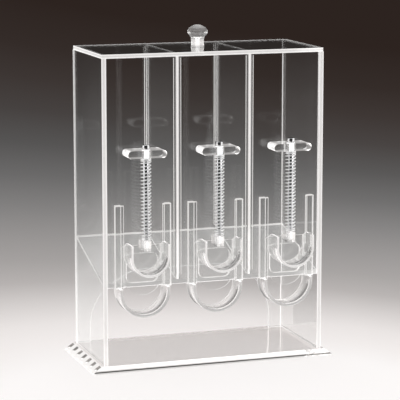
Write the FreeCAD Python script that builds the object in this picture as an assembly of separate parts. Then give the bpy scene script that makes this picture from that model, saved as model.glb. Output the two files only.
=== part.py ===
import FreeCAD, Part
import math
import os

os.makedirs("parts", exist_ok=True)
V = FreeCAD.Vector

# Gravity bulk food bin, a clear three-compartment cabinet with a spring-closed gate at the
# foot of each compartment. Millimetres, +Z up, origin at the centre of the base's underside,
# the gates face -Y.

# Cabinet
bin_width = 300.0
bin_depth = 135.0
lid_underside = 405.0
side_sheet = 6.0
face_sheet = 5.0
divider_sheet = 6.0
divider_gap = 1.0
compartments = 3

# Base plate, its short ends sloping and cut with a row of short flutes
base_thickness = 10.0
base_side_overhang = 15.0
base_top_overhang = 3.0
base_face_overhang = 4.0
base_edge = 1.5
flutes = 7
flute_pitch = 21.5
flute_radius = 5.5
flute_depth = 1.8
flute_span = (0.1, 0.66)

# Sloping floor and the cut-outs of the two long panels
front_panel_foot = 111.0
floor_front = 116.5
floor_angle = 18.0
floor_sheet = 5.0
window_width = 42.0
window_height = 38.0
window_corner = 8.0
arch_inset = 24.0
arch_height = 93.0
arch_corner = 73.0

# Lid
lid_thickness = 5.0
lid_inset = 0.5
lid_hole = 4.6
knob_stem = 17.5
knob_waist = 16.4
knob_waist_level = 0.5
knob_stem_height = 12.0
knob_sides = 10
knob_rings = [(0.0, 17.5), (2.4, 21.8), (6.4, 27.8), (9.0, 27.8), (12.8, 22.0), (15.3, 13.0), (16.5, 7.0)]
screw_shank = 4.0
screw_head = 8.0
screw_head_height = 2.6
screw_head_round = 0.8
screw_depth = 12.0
screw_gap = 0.1
screw_end_gap = 0.5
socket_across = 2.5
socket_depth = 1.3

# Gate and its guides
gate_half = 28.5
gate_thickness = 3.0
gate_clearance = 0.5
gate_foot_half = 25.0
gate_shoulder = 2.0
gate_axis = 125.3
gate_top = 165.5
gate_corner = 4.0
guide_outer = 37.0
guide_inner = 26.2
guide_top = 218.5
cover_thickness = 3.0
cover_round = 1.5

# Finger lip on the gate, and the chute under the front panel
lip_radius = 25.7
lip_wall = 3.0
lip_axis = 155.3
lip_rise = 6.0
lip_depth = 34.5
lip_cut_run = 12.0
chute_radius = 33.5
chute_wall = 4.0
chute_axis = 106.6
chute_front = 14.0
chute_rear = 14.0

# Rod, rod block, bracket and spring
rod_radius = 4.0
rod_offset = 14.5
rod_seat = 4.0
rod_top = 295.2
rod_chamfer = 0.8
seat_gap = 0.15
block_width = 11.0
block_depth = 20.5
block_lap = 4.5
block_height = 12.5
block_round = 1.5
bracket_half = 25.5
bracket_foot = 280.3
bracket_height = 10.0
bracket_depth = 26.5
bracket_round = 4.98
bushing_radius = 5.4
bushing_proud = 0.4
bushing_bore = 4.3
cap_radius = 5.0
cap_height = 5.6
cap_round = 0.4
cap_gap = 0.2
spring_radius = 6.35
wire_radius = 0.65
spring_end_gap = 0.3
spring_turns = 24.0
closed_turns = 1.5
closed_pitch = 1.95

# Levels and planes that follow from the sizes above
half_width = bin_width / 2
half_depth = bin_depth / 2
inner_half = half_width - side_sheet
inner_depth = half_depth - face_sheet
clear_width = 2 * inner_half - (compartments - 1) * divider_sheet
pitch = clear_width / compartments + divider_sheet
centres = [(i - (compartments - 1) / 2) * pitch for i in range(compartments)]
divider_centres = [(a + b) / 2 for a, b in zip(centres[:-1], centres[1:])]
names = ["left", "centre", "right"]
slope = math.tan(math.radians(floor_angle))
floor_drop = floor_sheet / math.cos(math.radians(floor_angle))
panel_face = -half_depth
gate_rear = panel_face - gate_clearance
gate_face = gate_rear - gate_thickness
cover_rear = gate_face - gate_clearance
guide_split = gate_half + gate_clearance
rod_plane = gate_face - rod_offset
block_foot = gate_top - block_lap
lip_top = gate_top + lip_rise
rod_foot = block_foot + rod_seat
block_top = block_foot + block_height
bracket_top = bracket_foot + bracket_height


def save(name, shape):
    shape.exportStep(f"parts/{name}.step")
    print(name, round(shape.Volume), shape.isValid(), len(shape.Solids))


def block(x0, x1, y0, y1, z0, z1):
    return Part.makeBox(x1 - x0, y1 - y0, z1 - z0, V(x0, y0, z0))


def upright(radius, x, y, z0, z1):
    return Part.makeCylinder(radius, z1 - z0, V(x, y, z0))


def rims_at(shape, z):
    return [e for e in shape.Edges if abs(e.CenterOfMass.z - z) < 0.01]


def floor_level(y):
    return floor_front + (y + inner_depth) * slope


def arc(a, b, c):
    return Part.Arc(a, b, c).toShape()


def run(points):
    return [Part.LineSegment(a, b).toShape() for a, b in zip(points[:-1], points[1:])]


def closed_face(edges):
    return Part.Face(Part.Wire(edges))


# Outline in the XZ plane with a round foot and small round upper corners
def tongue(cx, half, z_axis, z_top, corner, y0, y1):
    lean = corner * math.sqrt(0.5)
    left_turn = V(cx - half + corner - lean, y0, z_top - corner + lean)
    right_turn = V(cx + half - corner + lean, y0, z_top - corner + lean)
    foot_left = V(cx - half, y0, z_axis)
    foot_right = V(cx + half, y0, z_axis)
    side_left = V(cx - half, y0, z_top - corner)
    side_right = V(cx + half, y0, z_top - corner)
    head_left = V(cx - half + corner, y0, z_top)
    head_right = V(cx + half - corner, y0, z_top)
    edges = [arc(foot_right, V(cx, y0, z_axis - half), foot_left)]
    edges += run([foot_left, side_left])
    edges.append(arc(side_left, left_turn, head_left))
    edges += run([head_left, head_right])
    edges.append(arc(head_right, right_turn, side_right))
    edges += run([side_right, foot_right])
    return closed_face(edges).extrude(V(0, y1 - y0, 0))


# Half-pipe strip bent to a U, its two legs standing on the XZ plane's axis height
def u_strip(cx, outer, wall, z_axis, z_top, y0, y1):
    inner = outer - wall
    edges = [arc(V(cx - outer, y0, z_axis), V(cx, y0, z_axis - outer), V(cx + outer, y0, z_axis))]
    edges += run([V(cx + outer, y0, z_axis), V(cx + outer, y0, z_top), V(cx + inner, y0, z_top)])
    edges += run([V(cx + inner, y0, z_top), V(cx + inner, y0, z_axis)])
    edges.append(arc(V(cx + inner, y0, z_axis), V(cx, y0, z_axis - inner), V(cx - inner, y0, z_axis)))
    edges += run([V(cx - inner, y0, z_axis), V(cx - inner, y0, z_top), V(cx - outer, y0, z_top)])
    edges += run([V(cx - outer, y0, z_top), V(cx - outer, y0, z_axis)])
    return closed_face(edges).extrude(V(0, y1 - y0, 0))


# Rectangle in the XZ plane with four round corners
def rounded_slot(cx, half, z0, z1, corner, y0, y1):
    shape = block(cx - half, cx + half, y0, y1, z0, z1)
    edges = [e for e in shape.Edges if abs(e.tangentAt(e.FirstParameter).y) > 0.9]
    return shape.makeFillet(corner, edges)


# Base plate: its short ends slope outward to the table, each flute starts below the upper
# edge and stops short of the foot
def base_plate():
    top_half = half_width + base_top_overhang
    foot_half = half_width + base_side_overhang
    y0 = -half_depth - base_face_overhang
    y1 = half_depth + base_face_overhang
    outline = [
        V(-foot_half, y0, 0),
        V(foot_half, y0, 0),
        V(foot_half, y0, base_edge),
        V(top_half, y0, base_thickness),
        V(-top_half, y0, base_thickness),
        V(-foot_half, y0, base_edge),
        V(-foot_half, y0, 0),
    ]
    plate = closed_face(run(outline)).extrude(V(0, y1 - y0, 0))
    fall = math.atan2(base_thickness - base_edge, foot_half - top_half)
    run_down = math.hypot(foot_half - top_half, base_thickness - base_edge)
    begin, end = [share * run_down for share in flute_span]
    lift = flute_radius - flute_depth
    cutters = []
    for side in (-1, 1):
        along = V(side * math.cos(fall), 0, -math.sin(fall))
        outward = V(side * math.sin(fall), 0, math.cos(fall))
        head = V(side * top_half, 0, base_thickness)
        for i in range(flutes):
            y = (i - (flutes - 1) / 2) * flute_pitch
            start = head + along * begin + outward * lift + V(0, y, 0)
            cutters.append(Part.makeCylinder(flute_radius, end - begin, start, along))
    return plate.cut(cutters)


# Back panel with the wide arched cut-out that gives access to the bay from behind
def back_panel():
    sheet = block(-inner_half, inner_half, inner_depth, half_depth, base_thickness, lid_underside)
    half = half_width - arch_inset
    top = base_thickness + arch_height
    below = base_thickness - 1
    lean = arch_corner * (1 - math.sqrt(0.5))
    y = inner_depth - 1
    edges = run([V(-half, y, below), V(-half, y, top - arch_corner)])
    turn = V(-half + lean, y, top - lean)
    edges.append(arc(V(-half, y, top - arch_corner), turn, V(-half + arch_corner, y, top)))
    edges += run([V(-half + arch_corner, y, top), V(half - arch_corner, y, top)])
    turn = V(half - lean, y, top - lean)
    edges.append(arc(V(half - arch_corner, y, top), turn, V(half, y, top - arch_corner)))
    edges += run([V(half, y, top - arch_corner), V(half, y, below), V(-half, y, below)])
    return sheet.cut(closed_face(edges).extrude(V(0, face_sheet + 2, 0)))


def front_panel():
    sheet = block(-inner_half, inner_half, panel_face, -inner_depth, front_panel_foot, lid_underside)
    y0 = panel_face - 1
    y1 = 1 - inner_depth
    half = window_width / 2
    top = floor_front + window_height
    holes = [rounded_slot(cx, half, floor_front, top, window_corner, y0, y1) for cx in centres]
    return sheet.cut(holes)


def divider(cx):
    x0 = cx - divider_sheet / 2
    top = lid_underside - divider_gap
    outline = [
        V(x0, -inner_depth, floor_level(-inner_depth)),
        V(x0, inner_depth, floor_level(inner_depth)),
        V(x0, inner_depth, top),
        V(x0, -inner_depth, top),
        V(x0, -inner_depth, floor_level(-inner_depth)),
    ]
    return closed_face(run(outline)).extrude(V(divider_sheet, 0, 0))


def sloped_floor():
    low = floor_level(-inner_depth)
    high = floor_level(inner_depth)
    outline = [
        V(-inner_half, -inner_depth, low - floor_drop),
        V(-inner_half, inner_depth, high - floor_drop),
        V(-inner_half, inner_depth, high),
        V(-inner_half, -inner_depth, low),
        V(-inner_half, -inner_depth, low - floor_drop),
    ]
    return closed_face(run(outline)).extrude(V(2 * inner_half, 0, 0))


def lid_panel():
    x = half_width - lid_inset
    y = half_depth - lid_inset
    top = lid_underside + lid_thickness
    sheet = block(-x, x, -y, y, lid_underside, top)
    return sheet.cut(upright(lid_hole / 2, 0, 0, lid_underside - 1, top + 1))


def ring(radius, z):
    angles = [2 * math.pi * i / knob_sides for i in range(knob_sides)]
    points = [V(radius * math.cos(a), radius * math.sin(a), z) for a in angles]
    return Part.Wire(run(points + [points[0]]))


# Cut-crystal knob: a waisted round stem below a ball cut in flat facets
def lid_knob():
    foot = lid_underside + lid_thickness
    neck = foot + knob_stem_height
    stem = knob_stem / 2
    waist = knob_waist / 2
    edges = run([V(0, 0, foot), V(stem, 0, foot)])
    level = foot + knob_stem_height * knob_waist_level
    edges.append(arc(V(stem, 0, foot), V(waist, 0, level), V(stem, 0, neck)))
    edges += run([V(stem, 0, neck), V(0, 0, neck), V(0, 0, foot)])
    shape = closed_face(edges).revolve(V(0, 0, 0), V(0, 0, 1), 360)
    rings = [ring(width / 2, neck + level) for level, width in knob_rings]
    ball = Part.makeLoft(rings, True, True)
    shape = shape.fuse(ball).removeSplitter()
    bore = screw_shank / 2 + screw_gap
    return shape.cut(upright(bore, 0, 0, foot - 1, foot + screw_depth + screw_end_gap))


def hexagon(across, z0, z1):
    radius = across / math.sqrt(3)
    angles = [k * math.pi / 3 for k in range(6)]
    points = [V(radius * math.cos(a), radius * math.sin(a), z0) for a in angles]
    return Part.Face(Part.makePolygon(points + [points[0]])).extrude(V(0, 0, z1 - z0))


def lid_knob_screw():
    head_foot = lid_underside - screw_head_height
    top = lid_underside + lid_thickness + screw_depth
    head = upright(screw_head / 2, 0, 0, head_foot, lid_underside)
    head = head.makeFillet(screw_head_round, rims_at(head, head_foot))
    shank = upright(screw_shank / 2, 0, 0, lid_underside - 1, top)
    screw = head.fuse(shank).removeSplitter()
    return screw.cut(hexagon(socket_across, head_foot - 1, head_foot + socket_depth))


# Gate plate: wide between the guides, with a narrower round foot below them
def gate_plate(cx):
    foot = tongue(cx, gate_foot_half, gate_axis, gate_top, gate_corner, gate_face, gate_rear)
    shoulder = front_panel_foot + gate_shoulder
    wide = rounded_slot(cx, gate_half, shoulder, gate_top, gate_corner, gate_face, gate_rear)
    return foot.fuse(wide).removeSplitter()


# Finger lip: a strip bent to a U, its legs cut down to the plate at the rear
def gate_lip(cx):
    strip = u_strip(cx, lip_radius, lip_wall, lip_axis, lip_top, gate_face - lip_depth, gate_face)
    x = cx - lip_radius - 1
    cut = closed_face(
        run(
            [
                V(x, gate_face, gate_top),
                V(x, gate_face - lip_cut_run, lip_top),
                V(x, gate_face - lip_cut_run, lip_top + 1),
                V(x, gate_face + 1, lip_top + 1),
                V(x, gate_face + 1, gate_top),
                V(x, gate_face, gate_top),
            ]
        )
    )
    return strip.cut(cut.extrude(V(2 * lip_radius + 2, 0, 0)))


def guide_spacer(cx, side):
    x0, x1 = sorted([cx + side * guide_split, cx + side * guide_outer])
    return block(x0, x1, cover_rear, panel_face, front_panel_foot, guide_top)


def guide_cover(cx, side):
    x0, x1 = sorted([cx + side * guide_inner, cx + side * guide_outer])
    strip = block(x0, x1, cover_rear - cover_thickness, cover_rear, front_panel_foot, guide_top)
    edges = []
    for e in strip.Edges:
        middle = e.CenterOfMass
        if abs(middle.z - guide_top) < 0.01 and abs(middle.y - cover_rear + cover_thickness) < 0.01:
            edges.append(e)
    return strip.makeFillet(cover_round, edges)


# Rod block: a small cube on the gate with a blind bore for the rod's foot
def rod_block(cx):
    half = block_width / 2
    body = block(cx - half, cx + half, gate_face - block_depth, gate_face, block_foot, block_top)
    front = gate_face - block_depth
    edges = []
    for e in body.Edges:
        if abs(e.tangentAt(e.FirstParameter).z) > 0.9 and abs(e.CenterOfMass.y - front) < 0.01:
            edges.append(e)
    body = body.makeFillet(block_round, edges)
    return body.cut(upright(rod_radius + seat_gap, cx, rod_plane, rod_foot, block_top + 1))


def rod(cx):
    shape = upright(rod_radius, cx, rod_plane, rod_foot, rod_top)
    return shape.makeChamfer(rod_chamfer, rims_at(shape, rod_top))


# Rod bracket: a bar with half-round ends, bored upright for the bushing
def rod_bracket(cx):
    front = panel_face - bracket_depth
    bar = rounded_slot(cx, bracket_half, bracket_foot, bracket_top, bracket_round, front, panel_face)
    bore = upright(bushing_radius + seat_gap, cx, rod_plane, bracket_foot - 1, bracket_top + 1)
    return bar.cut(bore)


# Bushing: a plain sleeve that stands a little proud of the bracket
def bushing(cx):
    top = bracket_top + bushing_proud
    sleeve = upright(bushing_radius, cx, rod_plane, bracket_foot, top)
    return sleeve.cut(upright(bushing_bore, cx, rod_plane, bracket_foot - 1, top + 1))


# Rod cap: pressed on the rod's end, it stops the gate on the bushing
def rod_cap(cx):
    foot = bracket_top + bushing_proud + cap_gap
    cap = upright(cap_radius, cx, rod_plane, foot, foot + cap_height)
    cap = cap.makeFillet(cap_round, rims_at(cap, foot + cap_height))
    return cap.cut(upright(rod_radius + seat_gap, cx, rod_plane, foot - 1, rod_top))


# Rise of the coil per turn, closed up at both ends
def coil_rise(turn):
    inside = min(turn, spring_turns - turn)
    blend = min(max(inside - closed_turns, 0.0), 1.0)
    return closed_pitch + (open_pitch - closed_pitch) * blend


# Two arcs that leave p with direction s and arrive at q with direction t
def biarc(p, s, q, t):
    chord = q - p
    both = s + t
    bend = 2 * (1 - s.dot(t))
    reach = chord.dot(both)
    d = (math.sqrt(reach * reach + bend * chord.dot(chord)) - reach) / bend
    a = p + s * d
    b = q - t * d
    join = (a + b) * 0.5
    edges = []
    for start, corner, end in ((p, a, join), (join, b, q)):
        middle = (start + end) * 0.5
        cosine = (end - start).Length / 2 / d
        edges.append(arc(start, middle + (corner - middle) * (cosine / (1 + cosine)), end))
    return edges


def helix_points(cx, steps):
    count = int(round(spring_turns * steps))
    z = block_top + spring_end_gap + wire_radius
    places = []
    for i in range(count + 1):
        turn = i / steps
        angle = 2 * math.pi * turn
        if i:
            z += coil_rise(turn - 0.5 / steps) / steps
        out = V(math.cos(angle), math.sin(angle), 0)
        ahead = V(-math.sin(angle), math.cos(angle), 0) * (2 * math.pi * spring_radius)
        heading = (ahead + V(0, 0, coil_rise(turn))).normalize()
        places.append((V(cx, rod_plane, z) + out * spring_radius, heading))
    return places


# Compression spring: one unbroken round wire round the rod
def spring(cx):
    places = helix_points(cx, 4)
    edges = []
    for (p, s), (q, t) in zip(places[:-1], places[1:]):
        edges += biarc(p, s, q, t)
    path = Part.Wire(edges)
    start, heading = places[0]
    section = Part.Wire([Part.makeCircle(wire_radius, start, heading)])
    return Part.Solid(path.makePipeShell([section], True, False))


def least_self_gap():
    steps = 48
    places = [p for p, heading in helix_points(0, steps)]
    least = 1e9
    for i in range(0, len(places), 2):
        for j in range(i + steps // 2, min(i + 2 * steps, len(places))):
            least = min(least, places[i].distanceToPoint(places[j]))
    return least - 2 * wire_radius


spring_length = bracket_foot - block_top - 2 * spring_end_gap - 2 * wire_radius
open_turns = spring_turns - 2 * closed_turns - 1
open_pitch = closed_pitch + (spring_length - spring_turns * closed_pitch) / open_turns

save("base_plate", base_plate())
for side, name in ((-1, "left"), (1, "right")):
    x0, x1 = sorted([side * inner_half, side * half_width])
    save(f"{name}_side_panel", block(x0, x1, -half_depth, half_depth, base_thickness, lid_underside))
save("back_panel", back_panel())
save("front_panel", front_panel())
for name, cx in zip(("left", "right"), divider_centres):
    save(f"{name}_divider", divider(cx))
save("sloped_floor", sloped_floor())
save("lid_panel", lid_panel())
save("lid_knob", lid_knob())
save("lid_knob_screw", lid_knob_screw())

for name, cx in zip(names, centres):
    for side, hand in ((-1, "left"), (1, "right")):
        save(f"{name}_guide_spacer_{hand}", guide_spacer(cx, side))
        save(f"{name}_guide_cover_{hand}", guide_cover(cx, side))
    chute_y0 = panel_face - chute_front
    chute_y1 = panel_face + chute_rear
    chute = u_strip(cx, chute_radius, chute_wall, chute_axis, front_panel_foot, chute_y0, chute_y1)
    save(f"{name}_chute", chute)
    save(f"{name}_rod_bracket", rod_bracket(cx))
    save(f"{name}_rod_bushing", bushing(cx))
    save(f"{name}_gate_plate", gate_plate(cx))
    save(f"{name}_gate_lip", gate_lip(cx))
    save(f"{name}_rod_block", rod_block(cx))
    save(f"{name}_rod", rod(cx))
    save(f"{name}_rod_cap", rod_cap(cx))
    save(f"{name}_spring", spring(cx))

print("spring pitch", round(open_pitch, 2), "least self gap", round(least_self_gap(), 2))
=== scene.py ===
import bpy
import math
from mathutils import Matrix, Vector


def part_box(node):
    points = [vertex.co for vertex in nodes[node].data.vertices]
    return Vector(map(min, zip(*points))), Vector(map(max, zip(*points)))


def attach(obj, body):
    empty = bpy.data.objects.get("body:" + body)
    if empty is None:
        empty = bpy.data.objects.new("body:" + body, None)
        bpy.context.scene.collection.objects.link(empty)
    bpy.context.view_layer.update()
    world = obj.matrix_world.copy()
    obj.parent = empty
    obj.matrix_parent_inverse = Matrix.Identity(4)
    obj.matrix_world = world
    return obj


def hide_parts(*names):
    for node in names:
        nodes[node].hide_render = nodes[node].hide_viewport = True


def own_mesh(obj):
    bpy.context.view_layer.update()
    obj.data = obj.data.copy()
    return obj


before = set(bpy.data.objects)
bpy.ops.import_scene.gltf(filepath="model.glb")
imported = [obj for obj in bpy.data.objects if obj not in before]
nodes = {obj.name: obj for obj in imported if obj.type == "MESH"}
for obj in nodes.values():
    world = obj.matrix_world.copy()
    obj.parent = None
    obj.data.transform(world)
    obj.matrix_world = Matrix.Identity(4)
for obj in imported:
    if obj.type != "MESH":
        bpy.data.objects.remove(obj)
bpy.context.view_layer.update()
gateNames = ["left", "centre", "right"]
print("frame loaded with", len(nodes), "nodes")


def addNode(tree, kind, x=0, y=0, **settings):
    node = tree.nodes.new(kind)
    node.location = (x, y)
    for key, value in settings.items():
        setattr(node, key, value)
    return node


def feed(tree, socket, value):
    if hasattr(value, "is_output"):
        tree.links.new(value, socket)
    else:
        socket.default_value = value


# A maths node, for shader trees and for geometry trees
def mathNode(tree, operation, a, b=0.0, clamp=False):
    node = addNode(tree, "ShaderNodeMath", operation=operation, use_clamp=clamp)
    feed(tree, node.inputs[0], a)
    feed(tree, node.inputs[1], b)
    return node.outputs[0]


# Rises smoothly from 0 at start to 1 at end
def smoothStep(tree, value, start, end):
    node = addNode(tree, "ShaderNodeMapRange", clamp=True, interpolation_type="SMOOTHSTEP")
    feed(tree, node.inputs["Value"], value)
    feed(tree, node.inputs["From Min"], start)
    feed(tree, node.inputs["From Max"], end)
    return node.outputs["Result"]


# 1 between low and high, 0 outside, with soft borders
def bandMask(tree, value, low, high, soft):
    rise = smoothStep(tree, value, low - soft, low + soft)
    fall = smoothStep(tree, value, high + soft, high - soft)
    return mathNode(tree, "MULTIPLY", rise, fall)


# Where the mask of the sawn edges begins and is full, by how far a face turns, where the
# middle of the thickness ends and begins, and the grain of the saw marks
edgeMask = {"turn": (0.86, 0.97), "core": (0.75, 0.35), "grain": 260.0, "detail": 3.0}


# Which faces of a sheet are sawn edges (1 on them, 0 on the polished faces), and how near
# the middle of the sheet's thickness a point lies
def cutEdgeGroup():
    group = bpy.data.node_groups.new("cut edge", "ShaderNodeTree")
    face = group.interface
    face.new_socket("Axis", in_out="INPUT", socket_type="NodeSocketVector")
    face.new_socket("Across", in_out="INPUT", socket_type="NodeSocketFloat")
    face.new_socket("Middle", in_out="INPUT", socket_type="NodeSocketFloat")
    face.new_socket("Half", in_out="INPUT", socket_type="NodeSocketFloat")
    face.new_socket("Edge", in_out="OUTPUT", socket_type="NodeSocketFloat")
    face.new_socket("Core", in_out="OUTPUT", socket_type="NodeSocketFloat")
    face.new_socket("Saw Marks", in_out="OUTPUT", socket_type="NodeSocketFloat")
    inside = addNode(group, "NodeGroupInput", -1000)
    outside = addNode(group, "NodeGroupOutput", 600)
    coords = addNode(group, "ShaderNodeTexCoord", -1000, -300)
    dot = addNode(group, "ShaderNodeVectorMath", -800, 0, operation="DOT_PRODUCT")
    group.links.new(coords.outputs["Normal"], dot.inputs[0])
    group.links.new(inside.outputs["Axis"], dot.inputs[1])
    along = mathNode(group, "ABSOLUTE", dot.outputs["Value"])
    facing = smoothStep(group, along, *edgeMask["turn"])
    mirrored = mathNode(group, "SUBTRACT", 1.0, facing)
    swap = addNode(group, "ShaderNodeMix", 0, 0, data_type="FLOAT")
    feed(group, swap.inputs["Factor"], inside.outputs["Across"])
    feed(group, swap.inputs["A"], mirrored)
    feed(group, swap.inputs["B"], facing)
    group.links.new(swap.outputs["Result"], outside.inputs["Edge"])
    reach = addNode(group, "ShaderNodeVectorMath", -800, -400, operation="DOT_PRODUCT")
    group.links.new(coords.outputs["Object"], reach.inputs[0])
    group.links.new(inside.outputs["Axis"], reach.inputs[1])
    out = mathNode(group, "ABSOLUTE", reach.outputs["Value"])
    out = mathNode(group, "SUBTRACT", out, inside.outputs["Middle"])
    out = mathNode(group, "DIVIDE", mathNode(group, "ABSOLUTE", out), inside.outputs["Half"])
    group.links.new(smoothStep(group, out, *edgeMask["core"]), outside.inputs["Core"])
    noise = addNode(group, "ShaderNodeTexNoise", -400, -700)
    feed(group, noise.inputs["Scale"], edgeMask["grain"])
    feed(group, noise.inputs["Detail"], edgeMask["detail"])
    group.links.new(coords.outputs["Object"], noise.inputs["Vector"])
    group.links.new(noise.outputs["Fac"], outside.inputs["Saw Marks"])
    return group


cutEdge = cutEdgeGroup()

# glint is the colour of the light painted on sawn edges and on turned-away rims
acrylic = {"tint": (0.99, 0.994, 0.992, 1), "ior": 1.49, "shadow": 0.02, "glint": (1, 0.972, 0.955, 1)}

# Colour and frost of the sawn edges, and the painted glow of light on them, whose middle glows less
# than their two borders, and a painted rim light on rounded and faceted surfaces where they turn away
edgeLook = {
    "tint": (0.2, 0.199, 0.197, 1),
    "frost": 0.35,
    "glow": 0.66,
    "border": 1.0,
    "core": 0.66,
    "sheen": 0.0,
    "sawDepth": 0.1,
}


# Clear sheet with frosted sawn edges that glow with painted light. axis is the sheet's thin direction, or
# with across the direction that the cut rims of a bent strip face. middle and half place the
# sheet's thickness along the axis. The look of the edges, with their painted glow and rim light, is in
# the dictionary above
def clearAcrylic(name, axis, across=0.0, middle=0.0, half=1.0, **look):
    look = {**edgeLook, **look}
    mat = bpy.data.materials.new(name)
    mat.use_nodes = True
    tree = mat.node_tree
    shader = tree.nodes["Principled BSDF"]
    edge = addNode(tree, "ShaderNodeGroup", -900, 0, node_tree=cutEdge)
    edge.inputs["Axis"].default_value = axis
    edge.inputs["Across"].default_value = across
    edge.inputs["Middle"].default_value = middle
    edge.inputs["Half"].default_value = half
    mix = addNode(tree, "ShaderNodeMix", -300, 200, data_type="RGBA", name="body colour")
    feed(tree, mix.inputs["Factor"], edge.outputs["Edge"])
    feed(tree, mix.inputs[6], acrylic["tint"])
    feed(tree, mix.inputs[7], look["tint"])
    tree.links.new(mix.outputs[2], shader.inputs["Base Color"])
    saw = mathNode(tree, "MULTIPLY", edge.outputs["Saw Marks"], look["sawDepth"])
    saw = mathNode(tree, "ADD", saw, look["frost"])
    rough = mathNode(tree, "MULTIPLY", edge.outputs["Edge"], saw)
    tree.links.new(rough, shader.inputs["Roughness"])
    lines = addNode(tree, "ShaderNodeMapRange", -700, -300)
    feed(tree, lines.inputs["Value"], edge.outputs["Core"])
    feed(tree, lines.inputs["To Min"], look["border"])
    feed(tree, lines.inputs["To Max"], look["core"])
    # painted glow on the sawn edges, graded between their borders and their middle
    shine = mathNode(tree, "MULTIPLY", edge.outputs["Edge"], lines.outputs["Result"])
    shine = mathNode(tree, "MULTIPLY", shine, look["glow"])
    # painted rim light where a surface turns away from the view, added as emission
    turning = addNode(tree, "ShaderNodeLayerWeight", -700, -500)
    paintedRimMask = mathNode(tree, "POWER", turning.outputs["Facing"], 2.0)
    shine = mathNode(tree, "MAXIMUM", shine, mathNode(tree, "MULTIPLY", paintedRimMask, look["sheen"]))
    glint = addNode(tree, "ShaderNodeMix", -300, -300, data_type="RGBA", name="glint")
    feed(tree, glint.inputs["Factor"], shine)
    feed(tree, glint.inputs[6], (0, 0, 0, 1))
    feed(tree, glint.inputs[7], acrylic["glint"])
    tree.links.new(glint.outputs[2], shader.inputs["Emission Color"])
    shader.inputs["Emission Strength"].default_value = 1.0
    shader.inputs["Transmission Weight"].default_value = 1.0
    shader.inputs["IOR"].default_value = acrylic["ior"]
    path = addNode(tree, "ShaderNodeLightPath", -500, -500)
    light = mathNode(tree, "MAXIMUM", path.outputs["Is Shadow Ray"], path.outputs["Is Diffuse Ray"])
    veil = mathNode(tree, "MULTIPLY", light, 1 - acrylic["shadow"])
    solid = mathNode(tree, "SUBTRACT", 1.0, veil)
    tree.links.new(solid, shader.inputs["Alpha"])
    return mat


# Grain of plain glossy surfaces, and how far their roughness varies
glossGrain = {"scale": 340.0, "smoothest": 0.8, "roughest": 1.25}


# glow paints light on the surface as emission in its own colour
def plainGloss(name, colour, rough, metal=0.0, glow=0.0):
    mat = bpy.data.materials.new(name)
    mat.use_nodes = True
    tree = mat.node_tree
    shader = tree.nodes["Principled BSDF"]
    coords = addNode(tree, "ShaderNodeTexCoord", -900)
    noise = addNode(tree, "ShaderNodeTexNoise", -700)
    feed(tree, noise.inputs["Scale"], glossGrain["scale"])
    tree.links.new(coords.outputs["Object"], noise.inputs["Vector"])
    spread = addNode(tree, "ShaderNodeMapRange", -400)
    feed(tree, spread.inputs["Value"], noise.outputs["Fac"])
    feed(tree, spread.inputs["To Min"], rough * glossGrain["smoothest"])
    feed(tree, spread.inputs["To Max"], rough * glossGrain["roughest"])
    tree.links.new(spread.outputs["Result"], shader.inputs["Roughness"])
    shader.inputs["Base Color"].default_value = colour
    shader.inputs["Metallic"].default_value = metal
    shader.inputs["Emission Color"].default_value = colour
    shader.inputs["Emission Strength"].default_value = glow
    return mat


sheetSide = clearAcrylic("clear side sheet", (1, 0, 0), middle=0.147, half=0.003)
sheetDivider = clearAcrylic("clear divider", (1, 0, 0), middle=0.049, half=0.003, border=0.05, core=1.1)
sheetFace = clearAcrylic("clear face sheet", (0, 1, 0), middle=0.065, half=0.0025)
sheetLid = clearAcrylic("clear lid sheet", (0, 0, 1), middle=0.4075, half=0.0025)
sheetThin = clearAcrylic("clear thin sheet", (0, 1, 0))
floorTilt = math.radians(18)
sheetFloor = clearAcrylic("clear sloping sheet", (0, -math.sin(floorTilt), math.cos(floorTilt)))
# the bent lips and chutes get painted rim light, the chutes also a stronger painted glow on their cut
# rims
bentLip = clearAcrylic("clear bent lip", (0, 1, 0), across=1.0, sheen=0.16)
bentChute = clearAcrylic("clear bent chute", (0, 1, 0), across=1.0, glow=0.4, sheen=0.25)

# Blocks polished all over
polished = {"tint": acrylic["tint"], "frost": 0.0}
# the bar gets painted rim light, the rod socket a painted glow
clearBar = clearAcrylic("clear bar", (0, 1, 0), across=1.0, glow=0.02, sheen=0.4, **polished)
rodSocket = clearAcrylic("clear rod socket", (0, 1, 0), across=1.0, glow=0.3, sheen=0.12, **polished)

# The knob's stem glows with painted light, its cut ball stays clear
knobLook = {"glow": 0.32, "border": 0.2, "core": 1.0, "sheen": 0.15, **polished}
crystal = clearAcrylic("cut crystal acrylic", (0, 0, 1), middle=0.416, half=0.009, **knobLook)

# Heights on the base's rim: the clear pockets of the fluted ends and the line on its long sides,
# which painted shade darkens, and the painted glow on the rest of its ends and sides
baseRim = {
    "flutePitch": 0.0215,
    "fluteHalf": 0.0045,
    "pocket": (0.0044, 0.0092),
    "line": (0.0018, 0.0036),
    "soft": 0.0004,
    "endGlow": 0.42,
    "sideGlow": 0.42,
    "endTurn": (0.2, 0.3),
    "sideTurn": (0.9, 0.97),
    "paintedShadeColour": (0.12, 0.11, 0.1, 1),
    "inwardLoss": 0.8,
}
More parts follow.
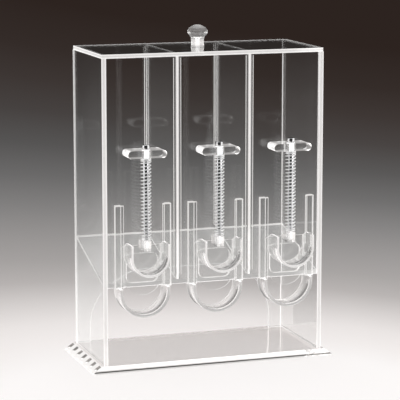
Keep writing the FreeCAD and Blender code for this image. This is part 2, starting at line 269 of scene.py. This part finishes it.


# Where the base's ends and long sides glow with painted light, and where painted shade keeps them dark
def baseRimGroup():
    group = bpy.data.node_groups.new("base rim painted glow and shade", "ShaderNodeTree")
    group.interface.new_socket("Glow", in_out="OUTPUT", socket_type="NodeSocketFloat")
    group.interface.new_socket("Painted Shade", in_out="OUTPUT", socket_type="NodeSocketFloat")
    outside = addNode(group, "NodeGroupOutput", 600)
    coords = addNode(group, "ShaderNodeTexCoord", -1000)
    normal = addNode(group, "ShaderNodeSeparateXYZ", -800)
    group.links.new(coords.outputs["Normal"], normal.inputs[0])
    spot = addNode(group, "ShaderNodeSeparateXYZ", -800, -300)
    group.links.new(coords.outputs["Object"], spot.inputs[0])
    ends = smoothStep(group, mathNode(group, "ABSOLUTE", normal.outputs["X"]), *baseRim["endTurn"])
    sides = smoothStep(group, mathNode(group, "ABSOLUTE", normal.outputs["Y"]), *baseRim["sideTurn"])
    soft = baseRim["soft"]
    wrapped = mathNode(group, "WRAP", spot.outputs["Y"], baseRim["flutePitch"] / 2)
    wrapped.node.inputs[2].default_value = -baseRim["flutePitch"] / 2
    fromFlute = mathNode(group, "ABSOLUTE", wrapped)
    half = baseRim["fluteHalf"]
    pocket = smoothStep(group, fromFlute, half + soft, half - soft)
    pocketBand = bandMask(group, spot.outputs["Z"], *baseRim["pocket"], soft)
    pocket = mathNode(group, "MULTIPLY", pocket, pocketBand)
    line = bandMask(group, spot.outputs["Z"], *baseRim["line"], soft)
    paintedShadeEnds = mathNode(group, "MULTIPLY", ends, pocket)
    paintedShadeSides = mathNode(group, "MULTIPLY", sides, line)
    litEnds = mathNode(group, "SUBTRACT", ends, paintedShadeEnds)
    litEnds = mathNode(group, "MULTIPLY", litEnds, baseRim["endGlow"])
    litSides = mathNode(group, "SUBTRACT", sides, paintedShadeSides)
    litSides = mathNode(group, "MULTIPLY", litSides, baseRim["sideGlow"])
    group.links.new(mathNode(group, "ADD", paintedShadeEnds, paintedShadeSides), outside.inputs["Painted Shade"])
    group.links.new(mathNode(group, "ADD", litEnds, litSides), outside.inputs["Glow"])
    return group


def baseFinish():
    # the base's top and bottom faces glow faintly with painted light, and its rim adds painted glow and
    # painted shade; seen from inside the glass, most of the painted glow is taken away
    look = {"tint": (0.995, 0.965, 0.955, 1), "frost": 0.0, "glow": 0.06, "core": 1.0}
    mat = clearAcrylic("thick clear base", (0, 0, 1), across=1.0, **look)
    tree = mat.node_tree
    shader = tree.nodes["Principled BSDF"]
    rim = addNode(tree, "ShaderNodeGroup", -700, 600, node_tree=baseRimGroup())
    # painted shade darkens the flute pockets and the line on the long sides
    darker = addNode(tree, "ShaderNodeMix", -100, 400, data_type="RGBA")
    feed(tree, darker.inputs["Factor"], rim.outputs["Painted Shade"])
    tree.links.new(tree.nodes["body colour"].outputs[2], darker.inputs[6])
    feed(tree, darker.inputs[7], baseRim["paintedShadeColour"])
    tree.links.new(darker.outputs[2], shader.inputs["Base Color"])
    glint = tree.nodes["glint"]
    faint = glint.inputs["Factor"].links[0].from_socket
    facing = addNode(tree, "ShaderNodeNewGeometry", -700, 800)
    inward = mathNode(tree, "MULTIPLY", facing.outputs["Backfacing"], baseRim["inwardLoss"])
    outward = mathNode(tree, "SUBTRACT", 1.0, inward)
    rimGlow = mathNode(tree, "MULTIPLY", rim.outputs["Glow"], outward)
    feed(tree, glint.inputs["Factor"], mathNode(tree, "MAXIMUM", faint, rimGlow))
    return mat


baseAcrylic = baseFinish()
# the spring wire glows faintly with painted light
springSteel = plainGloss("bright spring wire", (0.96, 0.96, 0.96, 1), 0.3, 1.0, glow=0.12)
rodSteel = plainGloss("polished rod", (0.78, 0.78, 0.79, 1), 0.07, 1.0)
screwSteel = plainGloss("screw steel", (0.5, 0.5, 0.51, 1), 0.3, 1.0)
# the sleeve is white plastic that also glows with painted light
whitePlastic = plainGloss("moulded sleeve", (0.82, 0.83, 0.84, 1), 0.25, glow=0.5)

dress = {
    "side_panel": sheetSide,
    "divider": sheetDivider,
    "back_panel": sheetFace,
    "front_panel": sheetFace,
    "sloped_floor": sheetFloor,
    "lid_panel": sheetLid,
    "lid_knob_screw": screwSteel,
    "lid_knob": crystal,
    "base_plate": baseAcrylic,
    "guide_spacer": sheetThin,
    "guide_cover": sheetThin,
    "gate_plate": sheetThin,
    "gate_lip": bentLip,
    "chute": bentChute,
    "rod_bracket": clearBar,
    "rod_bushing": whitePlastic,
    "rod_block": rodSocket,
    "rod_cap": rodSteel,
    "spring": springSteel,
    "rod": rodSteel,
}


def finishFor(name):
    best = max((key for key in dress if key in name), key=len)
    if name.endswith("_rod"):
        best = "rod"
    return dress[best]


softEdges = {"width": 0.00035, "segments": 2, "sharperThan": 35, "merge": 0.00001, "airGap": 0.00002}

for name, obj in nodes.items():
    for holder in obj.material_slots:
        holder.material = finishFor(name)
    if name.endswith("_spring"):
        continue
    weld = obj.modifiers.new("weld", "WELD")
    weld.merge_threshold = softEdges["merge"]
    shrink = obj.modifiers.new("air gap", "DISPLACE")
    shrink.mid_level = 0.0
    shrink.strength = -softEdges["airGap"]
    bevel = obj.modifiers.new("soft edges", "BEVEL")
    bevel.width = softEdges["width"]
    bevel.segments = softEdges["segments"]
    bevel.limit_method = "ANGLE"
    bevel.angle_limit = math.radians(softEdges["sharperThan"])
print("cabinet, lid and gates dressed")


# Springs, wound with Geometry Nodes
springSizes = {
    "Turns": 26.0,
    "Closed Turns": 1.5,
    "Closed Pitch": 0.00195,
    "Coil Radius": 0.00635,
    "Wire Radius": 0.00065,
    "End Gap": 0.0003,
}
stepsPerTurn = 28
wireSides = 12


def springTree():
    tree = bpy.data.node_groups.new("compression spring", "GeometryNodeTree")
    face = tree.interface
    face.new_socket("Geometry", in_out="INPUT", socket_type="NodeSocketGeometry")
    inputs = ["Centre X", "Centre Y", "Foot", "Top", *springSizes]
    for label in inputs:
        face.new_socket(label, in_out="INPUT", socket_type="NodeSocketFloat")
    face.new_socket("Finish", in_out="INPUT", socket_type="NodeSocketMaterial")
    face.new_socket("Geometry", in_out="OUTPUT", socket_type="NodeSocketGeometry")
    given = addNode(tree, "NodeGroupInput", -1800)
    out = given.outputs
    line = addNode(tree, "GeometryNodeCurvePrimitiveLine", -1200, 300)
    count = mathNode(tree, "MULTIPLY", out["Turns"], float(stepsPerTurn))
    count = mathNode(tree, "ADD", count, 1.0)
    resample = addNode(tree, "GeometryNodeResampleCurve", -1000, 300)
    tree.links.new(line.outputs["Curve"], resample.inputs["Curve"])
    tree.links.new(count, resample.inputs["Count"])
    index = addNode(tree, "GeometryNodeInputIndex", -1800, -400)
    turn = mathNode(tree, "DIVIDE", index.outputs[0], float(stepsPerTurn))
    angle = mathNode(tree, "MULTIPLY", turn, 2 * math.pi)

    # turns that have opened up by this point: none in the closed ends, then all of them
    def openedAfter(start):
        past = mathNode(tree, "MAXIMUM", mathNode(tree, "SUBTRACT", turn, start), 0.0)
        easing = mathNode(tree, "MINIMUM", past, 1.0)
        half = mathNode(tree, "MULTIPLY", mathNode(tree, "MULTIPLY", easing, easing), 0.5)
        rest = mathNode(tree, "MAXIMUM", mathNode(tree, "SUBTRACT", past, 1.0), 0.0)
        return mathNode(tree, "ADD", half, rest)

    closed = out["Closed Turns"]
    lastOpen = mathNode(tree, "SUBTRACT", mathNode(tree, "SUBTRACT", out["Turns"], closed), 1.0)
    opened = mathNode(tree, "SUBTRACT", openedAfter(closed), openedAfter(lastOpen))
    allOpened = mathNode(tree, "SUBTRACT", lastOpen, closed)
    wire = mathNode(tree, "MULTIPLY", out["Wire Radius"], 2.0)
    gaps = mathNode(tree, "MULTIPLY", out["End Gap"], 2.0)
    room = mathNode(tree, "SUBTRACT", out["Top"], out["Foot"])
    room = mathNode(tree, "SUBTRACT", mathNode(tree, "SUBTRACT", room, wire), gaps)
    tight = mathNode(tree, "MULTIPLY", out["Turns"], out["Closed Pitch"])
    spare = mathNode(tree, "DIVIDE", mathNode(tree, "SUBTRACT", room, tight), allOpened)
    height = mathNode(tree, "MULTIPLY", turn, out["Closed Pitch"])
    height = mathNode(tree, "ADD", height, mathNode(tree, "MULTIPLY", opened, spare))
    start = mathNode(tree, "ADD", mathNode(tree, "ADD", out["Foot"], out["End Gap"]), out["Wire Radius"])
    height = mathNode(tree, "ADD", height, start)
    x = mathNode(tree, "MULTIPLY", mathNode(tree, "COSINE", angle), out["Coil Radius"])
    y = mathNode(tree, "MULTIPLY", mathNode(tree, "SINE", angle), out["Coil Radius"])
    spot = addNode(tree, "ShaderNodeCombineXYZ", -400, -300)
    tree.links.new(mathNode(tree, "ADD", x, out["Centre X"]), spot.inputs[0])
    tree.links.new(mathNode(tree, "ADD", y, out["Centre Y"]), spot.inputs[1])
    tree.links.new(height, spot.inputs[2])
    place = addNode(tree, "GeometryNodeSetPosition", -200, 300)
    tree.links.new(resample.outputs["Curve"], place.inputs["Geometry"])
    tree.links.new(spot.outputs[0], place.inputs["Position"])
    circle = addNode(tree, "GeometryNodeCurvePrimitiveCircle", -200, -100)
    circle.inputs["Resolution"].default_value = wireSides
    tree.links.new(out["Wire Radius"], circle.inputs["Radius"])
    tube = addNode(tree, "GeometryNodeCurveToMesh", 0, 300)
    tree.links.new(place.outputs["Geometry"], tube.inputs["Curve"])
    tree.links.new(circle.outputs["Curve"], tube.inputs["Profile Curve"])
    tube.inputs["Fill Caps"].default_value = True
    smooth = addNode(tree, "GeometryNodeSetShadeSmooth", 200, 300)
    tree.links.new(tube.outputs["Mesh"], smooth.inputs["Geometry"])
    real = addNode(tree, "GeometryNodeRealizeInstances", 400, 300)
    tree.links.new(smooth.outputs["Geometry"], real.inputs["Geometry"])
    paint = addNode(tree, "GeometryNodeSetMaterial", 600, 300)
    tree.links.new(real.outputs["Geometry"], paint.inputs["Geometry"])
    tree.links.new(out["Finish"], paint.inputs["Material"])
    result = addNode(tree, "NodeGroupOutput", 800, 300)
    tree.links.new(paint.outputs["Geometry"], result.inputs["Geometry"])
    return tree


# Runs a tree on an empty mesh and keeps the result as a plain mesh
def grow(name, tree, values):
    holder = bpy.data.objects.new(name + " holder", bpy.data.meshes.new(name + " holder"))
    bpy.context.scene.collection.objects.link(holder)
    modifier = holder.modifiers.new("grow", "NODES")
    modifier.node_group = tree
    for item in tree.interface.items_tree:
        if item.item_type == "SOCKET" and item.in_out == "INPUT" and item.name in values:
            modifier[item.identifier] = values[item.name]
    bpy.context.view_layer.update()
    shape = holder.evaluated_get(bpy.context.evaluated_depsgraph_get())
    mesh = bpy.data.meshes.new_from_object(shape)
    mesh.name = name
    piece = bpy.data.objects.new(name, mesh)
    bpy.context.scene.collection.objects.link(piece)
    bpy.data.objects.remove(holder, do_unlink=True)
    return piece


spiral = springTree()
for gate in gateNames:
    low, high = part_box(gate + "_rod")
    values = dict(springSizes)
    values["Centre X"] = (low.x + high.x) / 2
    values["Centre Y"] = (low.y + high.y) / 2
    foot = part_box(gate + "_rod_block")[1].z
    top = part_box(gate + "_rod_bracket")[0].z
    values["Foot"] = foot
    values["Top"] = top
    values["Finish"] = springSteel
    coil = grow(gate + "Coil", spiral, values)
    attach(coil, gate + "_gate")
    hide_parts(gate + "_spring")
    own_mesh(coil)
print("springs wound")


# Highlight beads: thin bars glowing with painted light, painted highlights beside each divider where it
# meets the long panels
beadSizes = {
    "width": 0.0009,
    "thickness": 0.0006,
    "fromDivider": 0.0013,
    "fromPanel": 0.0002,
    "frontFoot": 0.006,
    "rearFoot": 0.004,
    "topGap": 0.001,
}
# the bars' sides glow with painted light
highlightBead = clearAcrylic("painted highlight bead", (0, 0, 1), glow=0.64)
boxSides = [(3, 2, 1, 0), (4, 5, 6, 7), (0, 1, 5, 4), (1, 2, 6, 5), (2, 3, 7, 6), (3, 0, 4, 7)]


# Thin bars standing on the panels a little to each side of the divider
def cornerBeads(name, divider):
    low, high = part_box(divider)
    front = low.y + beadSizes["fromPanel"]
    rear = high.y - beadSizes["fromPanel"] - beadSizes["thickness"]
    rise = (high.y - low.y) * math.tan(floorTilt)
    points = []
    faces = []
    for y0, z0 in ((front, low.z + beadSizes["frontFoot"]), (rear, low.z + rise + beadSizes["rearFoot"])):
        y1 = y0 + beadSizes["thickness"]
        z1 = high.z - beadSizes["topGap"]
        for wall, side in ((low.x, -1), (high.x, 1)):
            near = wall + side * beadSizes["fromDivider"]
            far = near + side * beadSizes["width"]
            x0, x1 = sorted([near, far])
            start = len(points)
            points += [(x, y, z) for z in (z0, z1) for x, y in ((x0, y0), (x1, y0), (x1, y1), (x0, y1))]
            faces += [tuple(start + k for k in face) for face in boxSides]
    mesh = bpy.data.meshes.new(name)
    mesh.from_pydata(points, [], faces)
    mesh.materials.append(highlightBead)
    piece = bpy.data.objects.new(name, mesh)
    bpy.context.scene.collection.objects.link(piece)
    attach(piece, "cabinet")


for side in ("left", "right"):
    cornerBeads(side + "DividerBeads", side + "_divider")
print("cement beads laid")


# Table, light and camera

# A pool of light painted on the table: brightness and warmth by distance from the bin's foot
pool = {
    "centre": (-0.035, -0.24, 0),
    "darkerTowards": (0.28, -0.097, 0),
    "reach": 5.5,
    "stops": [
        (0.27, 0.95, 0.04),
        (0.36, 0.88, 0.06),
        (0.45, 0.81, 0.065),
        (0.56, 0.66, 0.07),
        (0.69, 0.48, 0.075),
        (0.83, 0.4, 0.07),
        (1.0, 0.35, 0.06),
        (1.27, 0.27, 0.04),
        (1.6, 0.19, 0.03),
        (2.0, 0.13, 0.05),
        (2.5, 0.092, 0.16),
        (3.1, 0.072, 0.27),
        (3.9, 0.054, 0.36),
        (5.5, 0.042, 0.45),
    ],
}


tableSizes = {"reach": 14.0, "level": -0.0004}

# What a mirror sees of the table: brightness by direction, from 0 straight behind the bin
# round to 1 straight in front of it
mirrorTable = {
    "turned": -19,
    "tint": (1.0, 0.99, 0.98),
    "stops": [(0.10, 0.04), (0.16, 1.0), (0.80, 1.0), (0.87, 0.035)],
}


def poolFloor():
    mesh = bpy.data.meshes.new("tableTop")
    reach = tableSizes["reach"]
    corners = [(-reach, -reach), (reach, -reach), (reach, reach), (-reach, reach)]
    mesh.from_pydata([(x, y, tableSizes["level"]) for x, y in corners], [], [(0, 1, 2, 3)])
    table = bpy.data.objects.new("tableTop", mesh)
    bpy.context.scene.collection.objects.link(table)
    mat = bpy.data.materials.new("pale table with painted light pool")
    mat.use_nodes = True
    tree = mat.node_tree
    shader = tree.nodes["Principled BSDF"]
    coords = addNode(tree, "ShaderNodeTexCoord", -1600)
    away = addNode(tree, "ShaderNodeVectorMath", -1400, 0, operation="DISTANCE")
    tree.links.new(coords.outputs["Object"], away.inputs[0])
    away.inputs[1].default_value = pool["centre"]
    across = addNode(tree, "ShaderNodeVectorMath", -1400, -200, operation="DOT_PRODUCT")
    tree.links.new(coords.outputs["Object"], across.inputs[0])
    across.inputs[1].default_value = pool["darkerTowards"]
    skew = mathNode(tree, "MAXIMUM", mathNode(tree, "ADD", across.outputs["Value"], 1.0), 0.5)
    span = mathNode(tree, "MULTIPLY", away.outputs["Value"], skew)
    span = mathNode(tree, "DIVIDE", span, pool["reach"], clamp=True)
    ramp = addNode(tree, "ShaderNodeValToRGB", -600)
    elements = ramp.color_ramp.elements
    while len(elements) < len(pool["stops"]):
        elements.new(0.5)
    for element, (where, level, warmth) in zip(elements, pool["stops"]):
        element.position = where / pool["reach"]
        element.color = (level, level * (1 - 0.75 * warmth), level * (1 - warmth), 1)
    tree.links.new(span, ramp.inputs["Fac"])
    # camera and refracted rays see the painted pool of light, other rays a plain grey
    path = addNode(tree, "ShaderNodeLightPath", -600, 400)
    refracted = path.outputs["Is Transmission Ray"]
    seen = mathNode(tree, "MAXIMUM", path.outputs["Is Camera Ray"], refracted)
    mix = addNode(tree, "ShaderNodeMix", -300, 0, data_type="RGBA")
    feed(tree, mix.inputs["Factor"], seen)
    feed(tree, mix.inputs[6], (0.9, 0.9, 0.9, 1))
    tree.links.new(ramp.outputs["Color"], mix.inputs[7])
    mirror = addNode(tree, "ShaderNodeMix", -100, 0, data_type="RGBA")
    notRefracted = mathNode(tree, "SUBTRACT", 1.0, refracted)
    reflected = mathNode(tree, "MULTIPLY", path.outputs["Is Glossy Ray"], notRefracted)
    feed(tree, mirror.inputs["Factor"], reflected)
    tree.links.new(mix.outputs[2], mirror.inputs[6])
    # a mirror sees the table dark in front of the bin and behind it, bright to both sides
    aim = addNode(tree, "ShaderNodeVectorMath", -1000, -500, operation="NORMALIZE")
    tree.links.new(coords.outputs["Object"], aim.inputs[0])
    side = addNode(tree, "ShaderNodeVectorMath", -800, -500, operation="DOT_PRODUCT")
    tree.links.new(aim.outputs["Vector"], side.inputs[0])
    turned = math.radians(mirrorTable["turned"])
    side.inputs[1].default_value = (math.sin(turned), -math.cos(turned), 0)
    sides = addNode(tree, "ShaderNodeValToRGB", -600, -500)
    spots = sides.color_ramp.elements
    while len(spots) < len(mirrorTable["stops"]):
        spots.new(0.5)
    for spot, (where, level) in zip(spots, mirrorTable["stops"]):
        spot.position = where
        spot.color = (*[level * share for share in mirrorTable["tint"]], 1)
    halved = mathNode(tree, "MULTIPLY_ADD", side.outputs["Value"], 0.5)
    halved.node.inputs[2].default_value = 0.5
    tree.links.new(halved, sides.inputs["Fac"])
    tree.links.new(sides.outputs["Color"], mirror.inputs[7])
    tree.links.new(mirror.outputs[2], shader.inputs["Base Color"])
    shader.inputs["Roughness"].default_value = 1.0
    shader.inputs["Specular IOR Level"].default_value = 0.0
    mesh.materials.append(mat)


poolFloor()


studio = {
    "strength": 0.62,
    "ceilingHeight": (0.55, 0.75),
    "room": (0.04, 0.037, 0.035, 1),
    "ceiling": (1.5, 1.5, 1.5, 1),
}


# Even light on matt surfaces. Clear and polished ones see a dark room with a bright ceiling
def studioWorld():
    world = bpy.data.worlds.new("studio")
    bpy.context.scene.world = world
    world.use_nodes = True
    tree = world.node_tree
    back = tree.nodes["Background"]
    path = addNode(tree, "ShaderNodeLightPath", -600)
    seen = mathNode(tree, "MAXIMUM", path.outputs["Is Camera Ray"], path.outputs["Is Glossy Ray"])
    seen = mathNode(tree, "MAXIMUM", seen, path.outputs["Is Transmission Ray"])
    coords = addNode(tree, "ShaderNodeTexCoord", -1000, -400)
    parts = addNode(tree, "ShaderNodeSeparateXYZ", -800, -400)
    tree.links.new(coords.outputs["Generated"], parts.inputs[0])
    ceiling = smoothStep(tree, parts.outputs["Z"], *studio["ceilingHeight"])
    room = addNode(tree, "ShaderNodeMix", -400, -400, data_type="RGBA")
    feed(tree, room.inputs["Factor"], ceiling)
    feed(tree, room.inputs[6], studio["room"])
    feed(tree, room.inputs[7], studio["ceiling"])
    mix = addNode(tree, "ShaderNodeMix", -200, data_type="RGBA")
    feed(tree, mix.inputs["Factor"], seen)
    feed(tree, mix.inputs[6], (1, 1, 1, 1))
    tree.links.new(room.outputs[2], mix.inputs[7])
    tree.links.new(mix.outputs[2], back.inputs["Color"])
    back.inputs["Strength"].default_value = studio["strength"]


studioWorld()

lamps = {
    "sideLeft": {"at": (-1.3, 0.1, 0.7), "size": (1.6, 1.3), "power": 6.8},
    "sideRight": {"at": (1.3, -0.5, 0.7), "size": (2.4, 1.3), "power": 11.0},
    "keyFront": {"at": (-1.1, -1.5, 1.4), "size": (0.5, 0.5), "power": 2.2},
    "topSoft": {"at": (0.0, 0.1, 2.0), "size": (1.4, 1.0), "power": 6.5},
}
lampAim = Vector((0, 0, 0.22))
for name, lamp in lamps.items():
    data = bpy.data.lights.new(name, "AREA")
    data.shape = "RECTANGLE"
    data.size, data.size_y = lamp["size"]
    data.energy = lamp["power"]
    light = bpy.data.objects.new(name, data)
    bpy.context.scene.collection.objects.link(light)
    light.location = lamp["at"]
    light.rotation_euler = (lampAim - light.location).to_track_quat("-Z", "Y").to_euler()
    # lamps aren't seen through the clear sheets
    light.visible_transmission = False

cameraSizes = {"at": (-0.8277, -2.4228, 0.648), "yaw": 18.935, "pitch": -9.777, "lens": 176.88}
cameraData = bpy.data.cameras.new("camera")
cameraData.lens = cameraSizes["lens"]
cameraData.sensor_width = 36.0
cameraData.clip_end = 60.0
camera = bpy.data.objects.new("camera", cameraData)
bpy.context.scene.collection.objects.link(camera)
camera.location = cameraSizes["at"]
tilt = math.radians(90 + cameraSizes["pitch"])
camera.rotation_euler = (tilt, 0, -math.radians(cameraSizes["yaw"]))
bpy.context.scene.camera = camera

scene = bpy.context.scene
scene.view_settings.view_transform = "Standard"
scene.cycles.max_bounces = 28
scene.cycles.transmission_bounces = 28
scene.cycles.glossy_bounces = 8
scene.cycles.transparent_max_bounces = 48
scene.cycles.caustics_refractive = False
scene.cycles.caustics_reflective = False
print("floor, lamps and camera placed")
